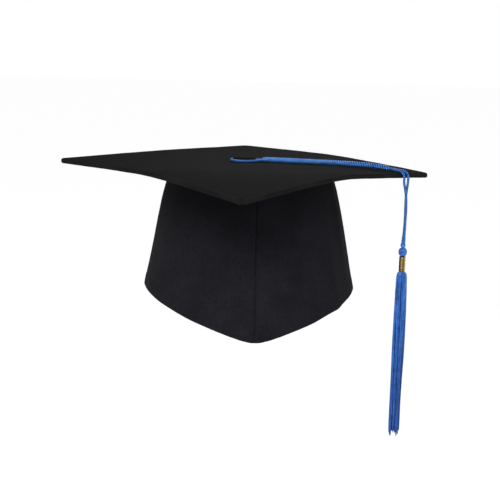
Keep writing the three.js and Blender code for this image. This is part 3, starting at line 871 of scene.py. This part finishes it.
def make_ferrule(materials):
    """A brass band with rolled rims and two fine grooves, and its seam at the back."""
    radius, wall, rim = 3.0, 0.35, 0.45
    rim_middle = radius - wall / 2
    turn = np.linspace(-math.pi, 0, 7)
    low_rim = [(rim_middle + rim / 2 * math.cos(t), FERRULE_LOW + rim / 2 * (1 + math.sin(t))) for t in turn]
    high_rim = [(r, FERRULE_LOW + FERRULE_HIGH - z) for r, z in low_rim[::-1]]
    groove_places = [FERRULE_LOW + 2.2, FERRULE_HIGH - 2.2]

    def groove_depth(z):
        return sum(0.14 * math.exp(-(((z - place) / 0.22) ** 2)) for place in groove_places)

    heights = np.linspace(FERRULE_LOW + rim, FERRULE_HIGH - rim, 41)
    outer = [(radius - groove_depth(z), z) for z in heights]
    inner = [(radius - wall, FERRULE_HIGH - rim), (radius - wall, FERRULE_LOW + rim)]

    def seam(angle, base, height):
        from_seam = np.abs((angle - math.pi / 2 + math.pi) % (2 * math.pi) - math.pi) * radius
        return -0.25 * np.exp(-((from_seam / 0.2) ** 2)) * (base > radius - 0.2)

    profile = low_rim + outer + high_rim + inner
    turned_piece("ferrule_band", "ferrule", profile, 144, seam, materials["brass"], TASSEL, "tassel_head")


FRINGE_LEAN = 0.5  # how far the thread ends hang forwards along the board's edge, in both x and y


def fringe_reach(height):
    """The fringe's radius at a height: gripped by the band, then a full shoulder, then slowly wider."""
    below_band = [FERRULE_LOW - height for height in (FRINGE_LOW - 20, FRINGE_LOW)]
    drops = [-10, 0, 0.6, 1.8, 5, 20, 40, 62, below_band[1], below_band[0]]
    radii = [2.3, 2.45, 4.0, 4.8, 5.4, 6.0, 6.3, 6.3, 6.2, 6.2]
    return np.interp(FERRULE_LOW - height, drops, radii)


def sunflower(count, index):
    """A place in a disc of radius 1, where so many places are spread evenly."""
    golden = math.pi * (3 - math.sqrt(5))
    reach = math.sqrt((index + 0.5) / count)
    return reach * np.array([math.cos(index * golden), math.sin(index * golden)])


def make_fringe(materials):
    """Threads that hang from inside the band. They gather in locks further down, and end unevenly."""
    count, locks, rings = 190, 15, 44
    top = FERRULE_LOW + 2.5
    fall = FERRULE_LOW - FRINGE_LOW
    lock_centres = np.array([sunflower(locks, index) for index in range(locks)])
    lock_sway = random.uniform(0, 2 * math.pi, (locks, 4))
    lock_ends = random.normal(0, 2.2, locks)
    threads = []
    for index in range(count):
        own = sunflower(count, index)
        lock = np.argmin(np.linalg.norm(lock_centres - own, axis=1))
        low = FRINGE_LOW - 2 + lock_ends[lock] + np.clip(random.normal(0, 2.4), -5, 5)
        low = max(low, FRINGE_LOW - 9)
        height = top + (low - top) * spread(rings, 0.35)
        hang = np.clip((FERRULE_LOW - height) / fall, 0, 1.2)
        pull = np.interp(hang, [0, 0.06, 0.35, 0.8, 1.1], [0, 0.05, 0.4, 0.5, 0.3])[:, None]
        place = own * (1 - pull) + lock_centres[lock] * pull * 0.97
        phases = lock_sway[lock] + random.uniform(-0.5, 0.5, 4)
        pairs = phases.reshape(2, 2)
        sway = [np.sin(hang * 4.5 + slow) + 0.35 * np.sin(hang * 11 + fast) for slow, fast in pairs]
        reach = fringe_reach(height)[:, None] - 0.45
        wander = (0.55 * np.sqrt(hang))[:, None]
        lean = np.outer(np.clip(hang, 0, 1), [-FRINGE_LEAN, -FRINGE_LEAN])
        across = place * reach * 0.94 + np.stack(sway, axis=1) * wander + lean
        path = np.column_stack([TASSEL[0] + across[:, 0], TASSEL[1] + across[:, 1], height])
        full = random.uniform(0.38, 0.5)
        places = [low, low + 2, FERRULE_LOW - 5, FERRULE_LOW, top]
        threads.append((path, np.interp(height, places, [0.16, full, full, 0.22, 0.2])))
    points, faces, uv = bundle(threads, sides=6)
    uv[..., 0] += np.arange(count)[:, None, None] * 4 * MM  # so that each thread has its own tone
    fringe = make_piece("fringe_threads", points, faces, materials["fringe"], None, OFF_CENTRE, uv, "thread")
    grip, loose = [(*(swing_point[:2] * MM), (FERRULE_LOW + above) * MM) for above in (0.5, -4)]
    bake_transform(fringe)
    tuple(grip)
    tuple(loose)
    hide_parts("fringe", "thread_neck")


# ---- The board ----


def board_outline(inset, arc_steps=8, edge_steps=56):
    """The square with rounded corners, its corners on the X and Y axes."""
    radius = max(0.5, CORNER_RADIUS - inset)
    reach = HALF_DIAGONAL - CORNER_RADIUS * SQRT2 - max(0, inset - CORNER_RADIUS + 0.5) * SQRT2
    points = []
    for corner in range(4):
        towards = corner * math.pi / 2
        centre = reach * np.array([math.cos(towards), math.sin(towards)])
        arc = towards + (np.arange(arc_steps + 1) / arc_steps - 0.5) * math.pi / 2
        points.append(centre + radius * np.stack([np.cos(arc), np.sin(arc)], axis=1))
    outline = []
    for corner in range(4):
        start, end = points[corner][-1], points[(corner + 1) % 4][0]
        share = spread(edge_steps + 1)[1:-1, None]
        outline += [points[corner], start + (end - start) * share]
    return np.concatenate(outline)


def board_points(rows, unevenness):
    """Points of a board layer. Each row is (share of the way out, inset, height)."""
    grid = []
    for share, inset, height in rows:
        ring = board_outline(inset) * share
        z = height - board_droop(ring[:, 0], ring[:, 1])
        grid.append(np.column_stack([ring, z]))
    grid = np.array(grid)
    grid[..., 2] += unevenness(grid)
    return grid


def board_unevenness(points):
    """The cloth isn't quite flat on its card."""
    swell = 0.3 * soft_noise(points * [1, 1, 0], 45, seed=3)
    ripples = 0.13 * soft_noise(points * [1, 1, 0], 12, seed=9)
    return np.maximum(-0.12, swell + ripples)


def cloth_map(points):
    return points[..., :2] * MM


RIVET_HOLE = 2.1
EDGE_ROUND = 1.5  # the radius of the board's edge
COVER = 0.5  # the top cloth's thickness


def flat_rows(edge_inset, height, count):
    """Rows from the rivet's hole out to an inset."""
    hole = RIVET_HOLE / HALF_DIAGONAL * SQRT2
    return [(share, edge_inset, height) for share in np.linspace(hole, 1, count)]


def cover_profile(thickness):
    """The top cloth's rows: over the top, round the edge and a little way under. thickness moves them in."""
    radius = EDGE_ROUND - thickness
    high, low = BOARD_TOP - EDGE_ROUND, BOARD_LOW + EDGE_ROUND
    rows = flat_rows(EDGE_ROUND, BOARD_TOP - thickness, 52)
    for angle in np.linspace(0, math.pi / 2, 7)[1:]:
        rows.append((1, EDGE_ROUND - radius * math.sin(angle), high + radius * math.cos(angle)))
    for angle in np.linspace(0, math.pi / 2, 7):
        rows.append((1, EDGE_ROUND - radius * math.cos(angle), low - radius * math.sin(angle)))
    rows.append((1, EDGE_ROUND + 0.3, BOARD_LOW + thickness))
    return rows


def make_board_cover(materials):
    front, back = [board_points(cover_profile(depth), board_unevenness) for depth in (0, COVER)]
    sheet = (front, back, cloth_map(front), materials["board"])
    cover = make_sheet("board_top_cloth", "board_cover", *sheet, wraps=True, offset=OFF_CENTRE)


def make_board_underside(materials):
    heights = (BOARD_LOW + 0.02, BOARD_LOW + 0.55)
    rows = [flat_rows(EDGE_ROUND + 0.7, height, 44) for height in heights]
    front, back = [board_points(row, board_unevenness) for row in rows]
    sheet = (front, back, cloth_map(front), materials["board"])
    underside = make_sheet("board_underside_cloth", "board_underside", *sheet, wraps=True, offset=OFF_CENTRE)


# ---- The button ----


def make_button(materials):
    """Cloth drawn over a dome. It's gathered under the rim, which shows as small pleats."""
    radius, base, height, widest, squareness, cloth = 11.2, 9.6, 4.9, 2.1, 0.55, 0.55
    pleats = 30
    seat = BOARD_TOP + 0.3

    def face(inset):
        rows = [(base - inset, seat)]
        for angle in np.linspace(0, math.pi / 2, 22)[:-1]:
            rise = widest + (height - inset - widest) * math.sin(angle)
            rows.append(((radius - inset) * math.cos(angle) ** squareness, BOARD_TOP + rise))
        rows.append((0.15, BOARD_TOP + height - inset))
        return rows

    def gathers(angle, base_radius, z):
        low = np.clip((BOARD_TOP + widest + 1.6 - z) / 2.6, 0, 1)
        wobble = 0.5 + 0.5 * np.sin(pleats * angle + 1.3 * np.sin(3 * angle))
        return 0.35 * low * (wobble - 0.5)

    profile = face(0) + face(cloth)[::-1]
    place = {"centre": np.zeros(2), "body": "cap", "pattern": radius}
    cover = turned_piece("button_cloth", "button_cover", profile, 240, gathers, materials["board"], **place)


# ---- The skullcap ----


def ridge(angle, centre_deg, width_deg):
    """A smooth fold that runs up the wall at an angle from the front seam."""
    return np.exp(-(((angle - math.radians(centre_deg)) / math.radians(width_deg)) ** 2))


def seam_distance(angle):
    return np.minimum(np.abs(angle), math.pi - np.abs(angle)) * RIM_RADIUS


def cap_relief(angle, rise, height, points):
    """How far the cloth stands out from the CAD's wall. rise is the distance above the rim."""
    from_seam = seam_distance(angle)
    front = np.abs(angle) < math.pi / 2
    up = np.clip(height / CROWN_HEIGHT, 0, 1)
    folds = 1.7 * ridge(angle, 65, 4.5) * np.clip(1.7 * up, 0, 1) * np.clip(1.5 - up, 0.3, 1)
    folds += 1.5 * ridge(angle, 49, 4.5) * np.clip(1.1 - 1.4 * up, 0, 1)
    folds += 0.9 * ridge(angle, 29, 6) * np.clip(0.9 - up, 0, 1)
    folds += 0.7 * ridge(angle, -58, 7) * np.clip(0.4 + up, 0, 1) * np.clip(1.5 - up, 0.3, 1)
    folds += 0.5 * ridge(angle, -34, 6) * np.clip(1 - up, 0, 1)
    swell = 0.45 * (1 + soft_noise(points, 42, seed=5)) * np.clip(1.15 - up**6, 0, 1)
    crumple = 0.12 * soft_noise(points, 9, seed=2)
    slant = height + 0.9 * from_seam
    puckers = np.sin(2 * math.pi * slant / 10 + 2 * soft_noise(points, 18, seed=8))
    pull = np.where(front, np.exp(-from_seam / 11), 0.5 * np.exp(-from_seam / 8))
    puckers *= 0.55 * pull * np.clip(1.25 - rise / 60, 0.15, 1)
    groove = -0.9 * np.exp(-((from_seam / 1.1) ** 2)) * np.clip(rise / 6, 0, 1)
    hem = 0.3 / (1 + np.exp((rise - 9) / 0.5))
    relief = np.maximum(-0.25, folds + swell + crumple + puckers + hem)
    return relief * np.clip(from_seam / 5, 0.2, 1) + groove


def above_rim(distance):
    return lambda angle: rim_height(angle) + distance


def level(height):
    return lambda angle: height + 0 * angle


def wall_grid(start, end, low_at, high_at, columns, rows, crowding=0.5):
    """Angles and heights of a grid on the wall, with heights crowded near its lower and upper edges.

    Then each point's distance above the lower edge, and to the nearer of the two.
    """
    angle = start + (end - start) * spread(columns, crowding)[None, :]
    low, high = low_at(angle), high_at(angle)
    height = low + (high - low) * spread(rows, crowding)[:, None]
    rise = height - low
    return np.broadcast_to(angle, height.shape), height, rise, np.minimum(rise, high - height)


def wall_sheet(name, node, angle, height, outer, inner, edges, material):
    """A sheet on the wall between two depths, which are numbers or grids. edges is how far its border is."""
    middle = (outer + inner) / 2
    half = (inner - outer) / 2 * border_fold(edges, np.mean(inner - outer))
    front = wall_point(angle, height, middle - half)
    back = wall_point(angle, height, middle + half)
    return make_sheet(name, node, front, back, pair(angle * RIM_RADIUS * MM, height * MM), material)


SEAM_GAP = 0.02 / RIM_RADIUS  # half the gap between the left and right pieces, as an angle


def wall_halves(low_at, high_at, columns, rows, border):
    """For the left and the right half of the wall: its name, angles, heights, rise and border distances."""
    for side, name in ((-1, "left"), (1, "right")):
        ends = (side * SEAM_GAP, side * (math.pi - SEAM_GAP))
        angle, height, rise, clear = wall_grid(*ends, low_at, high_at, columns, rows)
        yield name, angle, height, rise, np.minimum(clear, seam_distance(angle) + border)


def make_cap_panels(materials):
    for name, angle, height, rise, edges in wall_halves(rim_height, level(CROWN_HEIGHT), 190, 84, 0.6):
        relief = cap_relief(angle, rise, height, wall_point(angle, height, 0))
        sheet = (angle, height, -relief, 0.9 - np.clip(relief, -0.2, 2.5), edges, materials["cap"])
        panel = wall_sheet(f"cap_cloth_{name}", f"cap_panel_{name}", *sheet)


def make_linings(materials):
    rows = (above_rim(1), level(CROWN_LINING - 0.6))
    for name, angle, height, rise, edges in wall_halves(*rows, 120, 48, 0.2):
        points = wall_point(angle, height, 2.6)
        wrinkles = 0.6 * soft_noise(points, 16, seed=4) + 0.35 * soft_noise(points * [1, 1, 3], 9, seed=6)
        wrinkles = np.clip(wrinkles, 0, None) * np.clip((rise - 33) / 8, 0, 1)
        sheet = (angle, height, 2.3 + wrinkles, 2.8 + wrinkles, edges, materials["lining"])
        lining = wall_sheet(f"lining_cloth_{name}", f"lining_{name}", *sheet)


def make_crown_lining(materials):
    """The lining over the head, gathered in at its middle."""
    angle = circle(180)
    share = np.linspace(0.004, 1, 34)[:, None]
    outline = wall_point(angle, np.full(len(angle), CROWN_LINING), 2.4)
    gathers = 0.3 * np.sin(36 * angle + 2 * np.sin(2 * angle)) * (share * (1 - share) * 4)
    sag = -0.9 * (1 - share**2) + gathers
    mid = np.stack([outline[:, 0] * share, outline[:, 1] * share, CROWN_LINING + sag], axis=-1)
    half = np.array([0, 0, 0.25])
    sheet = (mid + half, mid - half, cloth_map(mid), materials["lining"])
    lining = make_sheet("crown_lining_cloth", "crown_lining", *sheet, wraps=True)


HEADBAND_END = math.radians(118)
ELASTIC_START = math.radians(122)


def make_headband(materials):
    """A ribbed ribbon, sewn inside the rim from one side of the elastic round the front to the other."""
    rows = (above_rim(1.5), above_rim(31.5))
    angle, height, _, clear = wall_grid(-HEADBAND_END, HEADBAND_END, *rows, 240, 22)
    points = wall_point(angle, height, 3.6)
    waviness = 0.35 * (1 + soft_noise(points, 24, seed=11)) * np.clip(clear / 5, 0, 1)
    edges = np.minimum(clear, (HEADBAND_END - np.abs(angle)) * RIM_RADIUS)
    sheet = (angle, height, 3.2 + waviness, 3.95 + waviness, edges, materials["headband"])
    headband = wall_sheet("headband_ribbon", "headband", *sheet)


def make_elastic_casing(materials):
    """The casing at the back, drawn into gathers by the elastic in it."""
    start, end = ELASTIC_START, 2 * math.pi - ELASTIC_START
    angle, height, _, clear = wall_grid(start, end, above_rim(2.5), above_rim(30.5), 300, 26, crowding=0.3)
    arc = angle * RIM_RADIUS
    bulge = np.clip(clear / 4.5, 0, 1)
    under_label = np.clip((np.abs(angle - math.pi) * RIM_RADIUS - 18) / 4, 0.12, 1)
    gather = np.sin(2 * math.pi * arc / 6.5 + 1.6 * np.sin(arc / 9) + 0.15 * height)
    outer = 3.1 + 1.75 * bulge**0.7 + 0.65 * (gather + 1) * bulge * under_label
    edges = np.minimum(clear, np.minimum(angle - start, end - angle) * RIM_RADIUS)
    sheet = (angle, height, outer, outer + 0.5, edges, materials["lining"])
    casing = wall_sheet("elastic_casing_cloth", "elastic_casing", *sheet)


def make_label(materials):
    """A blank satin tag, sewn down at its ends, with its lower edge a little away from the casing."""
    half = 17 / RIM_RADIUS
    rows = (above_rim(9), above_rim(24))
    angle, height, rise, clear = wall_grid(math.pi - half, math.pi + half, *rows, 60, 28)
    side = (half - np.abs(angle - math.pi)) * RIM_RADIUS
    outer = 5.75 + 0.5 * np.clip(1 - rise / 7, 0, 1) ** 2 * np.clip(side / 6, 0, 1)
    edges = np.minimum(clear, side)
    sheet = (angle, height, outer, outer + 0.32, edges, materials["label"])
    label = wall_sheet("size_tag", "size_label", *sheet)


# ---- Stitching ----


def make_stitches(name, node, path, surface_at, material):
    """A row of stitches in a node's cloth, along a path. Each is a short thread that dips in at both ends."""
    length, gap, thickness = 2.3, 0.8, 0.2
    rings = 7
    lengths = path_lengths(path)
    count = int(lengths[-1] / (length + gap))
    starts = np.arange(count) * lengths[-1] / count
    arch = np.sin(np.linspace(0, math.pi, rings))
    threads = []
    for begin in starts:
        places = begin + np.linspace(0, length, rings)
        line = np.stack([np.interp(places, lengths, path[:, axis]) for axis in range(3)], axis=1)
        line += surface_at(line) * (thickness * (1.6 * arch - 0.8))[:, None]
        threads.append((line, thickness * (0.55 + 0.45 * arch)))
    points, faces, _ = bundle(threads, sides=6)
    make_piece(name, points, faces, material, "cap", uv=cloth_map(points), slot=slots[node])


def inwards(points):
    """The direction from the wall towards the middle of the head, at each point."""
    flat = -points * [1, 1, 0]
    return flat / np.linalg.norm(flat, axis=1)[:, None]


def make_all_stitches(materials):
    thread = materials["thread"]
    angle = np.linspace(-HEADBAND_END, HEADBAND_END, 400)[1:-1]
    for place, above in (("lower", 3.2), ("upper", 29.8)):
        line = wall_point(angle, rim_height(angle) + above, 4.15)
        make_stitches(f"headband_stitches_{place}", "headband", line, inwards, thread)
    angle = np.linspace(ELASTIC_START, 2 * math.pi - ELASTIC_START, 300)[1:-1]
    for place, above in (("lower", 4.2), ("upper", 28.8)):
        line = wall_point(angle, rim_height(angle) + above, 4.7)
        make_stitches(f"casing_stitches_{place}", "elastic_casing", line, inwards, thread)
    outline = board_outline(EDGE_ROUND + 4)
    outline = np.vstack([outline, outline[:1]])
    height = BOARD_LOW - board_droop(outline[:, 0], outline[:, 1])
    line = np.column_stack([outline, height]) + OFF_CENTRE
    make_stitches("board_stitches", "board_cover", line, lambda points: np.array([[0, 0, -1.0]]), thread)


# ---- The floor, the light and the hidden pieces ----


def make_floor():
    shader = Shader("floor_white", roughness=0.9, Specular_IOR_Level=0.1)
    grain = shader.noise(shader.coordinates(), 90)
    colour = shader.ramp(grain, [(0.0, (0.36, 0.36, 0.36)), (1.0, (0.4, 0.4, 0.4))])
    shader.surface.inputs["Emission Color"].default_value = (1, 1, 1, 1)
    shader.surface.inputs["Emission Strength"].default_value = 0.92
    shader.finish(colour)
    size, level = 20000, -600
    signs = np.array([(-1, -1), (1, -1), (1, 1), (-1, 1)])
    corners = np.column_stack([signs * size, np.full(4, level)])
    floor = make_piece("floor", corners, [[0, 1, 2, 3]], shader.material)
    floor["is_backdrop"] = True


def make_world():
    """Even white light, a little weaker from the sides, so that shiny things have dark flanks."""
    world = bpy.data.worlds.new("studio")
    bpy.context.scene.world = world
    world.use_nodes = True
    nodes, links = world.node_tree.nodes, world.node_tree.links
    seen = nodes["Background"]
    seen.inputs["Color"].default_value = (1, 1, 1, 1)
    lit = nodes.new("ShaderNodeBackground")
    lit.inputs["Strength"].default_value = 0.25
    split = nodes.new("ShaderNodeSeparateXYZ")
    ramp = nodes.new("ShaderNodeValToRGB")
    ramp.color_ramp.elements[0].position = 0.45
    ramp.color_ramp.elements[0].color = (0.35, 0.35, 0.36, 1)
    ramp.color_ramp.elements[1].position = 0.95
    ramp.color_ramp.elements[1].color = (1, 1, 1, 1)
    links.new(nodes.new("ShaderNodeTexCoord").outputs["Generated"], split.inputs["Vector"])
    links.new(split.outputs["Z"], ramp.inputs["Fac"])
    links.new(ramp.outputs["Color"], lit.inputs["Color"])
    mix = nodes.new("ShaderNodeMixShader")
    links.new(nodes.new("ShaderNodeLightPath").outputs["Is Camera Ray"], mix.inputs["Fac"])
    links.new(lit.outputs["Background"], mix.inputs[1])
    links.new(seen.outputs["Background"], mix.inputs[2])
    links.new(mix.outputs["Shader"], nodes["World Output"].inputs["Surface"])


def make_light(name, place, size, power):
    data = bpy.data.lights.new(name, "AREA")
    data.size = size
    data.energy = power
    light = bpy.data.objects.new(name, data)
    light.location = place
    aim = Vector((0, 0, 0.05)) - Vector(place)
    light.rotation_euler = aim.to_track_quat("-Z", "Y").to_euler()
    bpy.context.scene.collection.objects.link(light)


def make_lights():
    make_light("key", (-0.32, -1.48, 1.3), 1.0, 47)
    make_light("fill", (1.5, -1.0, 0.7), 1.0, 6)
    make_light("back", (0.05, 0.38, 0.4), 0.2, 0.8)
    bpy.context.scene.view_settings.view_transform = "Standard"


def give_hidden_pieces_materials(materials):
    """The CAD nodes that stay are inside the cloth. They get the real materials too."""
    by_slot = {
        "interlining": materials["felt"],
        "card": materials["card"],
        "steel": materials["steel"],
        "elastic_web": materials["elastic"],
        "cap_cloth": materials["cap"],
    }
    for subpart in frame["record"]["subparts"]:
        node = frame["nodes"][subpart["node"]]
        if node.hide_render:
            continue
        material = by_slot[subpart["material_slot"]]
        for slot in node.material_slots:
            slot.material = material


def write_sizes():
    boxes = {"cad": cad_box, "visual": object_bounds()}
    {name: [list(corner) for corner in box] for name, box in boxes.items()}


make_camera()
materials = make_materials()
make_cord(materials)
make_collar(materials)
make_bead(materials)
make_ferrule(materials)
make_fringe(materials)
make_board_cover(materials)
make_board_underside(materials)
make_button(materials)
make_cap_panels(materials)
make_linings(materials)
make_crown_lining(materials)
make_headband(materials)
make_elastic_casing(materials)
make_label(materials)
make_all_stitches(materials)
give_hidden_pieces_materials(materials)
make_floor()
make_world()
make_lights()
write_sizes()
